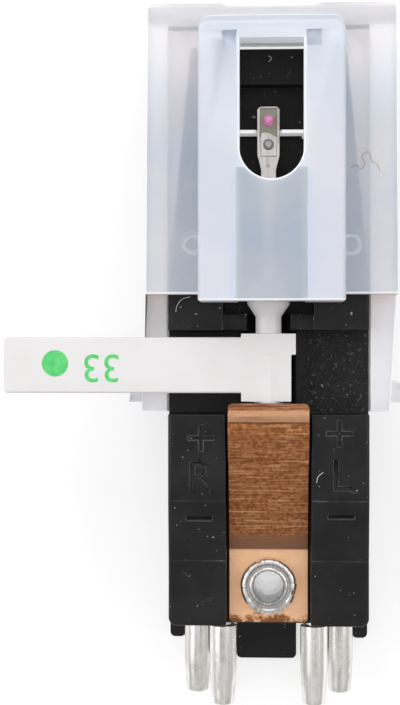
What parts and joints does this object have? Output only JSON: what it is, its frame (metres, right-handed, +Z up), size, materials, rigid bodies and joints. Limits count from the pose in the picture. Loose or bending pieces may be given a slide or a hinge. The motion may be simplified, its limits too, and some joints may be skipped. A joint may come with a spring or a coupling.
{
  "type": "phono cartridge",
  "caption": "Stereo ceramic phono cartridge with a turnover stylus lever, pull-off translucent stylus guard, rear terminal pins and a fixing eyelet.",
  "frame": {"origin": "on the mounting face, at the axis of the fixing eyelet's bore", "axes": "+Y towards the stylus end, +Z up from the mounting face to the stylus side, +X to the right of the stylus side seen from above"},
  "size_m": [0.0222, 0.0393, 0.0116],
  "materials": {
    "black_plastic": "moulded, satin, dusty and scuffed",
    "spring_copper": "copper strip, brushed and part tarnished",
    "eyelet_metal": "rolled eyelet, dull bright",
    "white_plastic": "moulded, satin gloss, small green print",
    "arm_aluminium": "drawn tube, flattened",
    "tip_pink": "ground synthetic stone",
    "tip_grey": "ground synthetic stone",
    "yoke_plastic": "thin white moulding",
    "guard_plastic": "frosted translucent moulding",
    "piezo_ceramic": "fired bar, silvered faces",
    "soft_rubber": "soft black rubber",
    "pin_plating": "tin plated, rolled from sheet"
  },
  "bodies": {
    "cartridge": {"housing": "black_plastic", "back_cover": "black_plastic", "clip_spring": "spring_copper", "eyelet": "eyelet_metal", "coupling_yoke": "yoke_plastic", "element_left": "piezo_ceramic", "element_right": "piezo_ceramic", "clamp_left": "soft_rubber", "clamp_right": "soft_rubber", "damper_left": "soft_rubber", "damper_right": "soft_rubber", "pin_left_plus": "pin_plating", "pin_left_minus": "pin_plating", "pin_right_plus": "pin_plating", "pin_right_minus": "pin_plating"},
    "stylus": {"turnover_lever": "white_plastic", "stylus_arm": "arm_aluminium", "tip_fine": "tip_pink", "tip_coarse": "tip_grey"},
    "guard": {"stylus_guard": "guard_plastic"}
  },
  "joints": [
    {"name": "stylus_turnover", "type": "hinge", "parent": "cartridge", "child": "stylus", "pos_m": [0, 0.0094, 0.008], "axis": [0, 1, 0], "range_deg": [0, 180]},
    {"name": "guard_slide", "type": "slide", "parent": "cartridge", "child": "guard", "axis": [0, 1, 0], "range_m": [0, 0.024]}
  ]
}
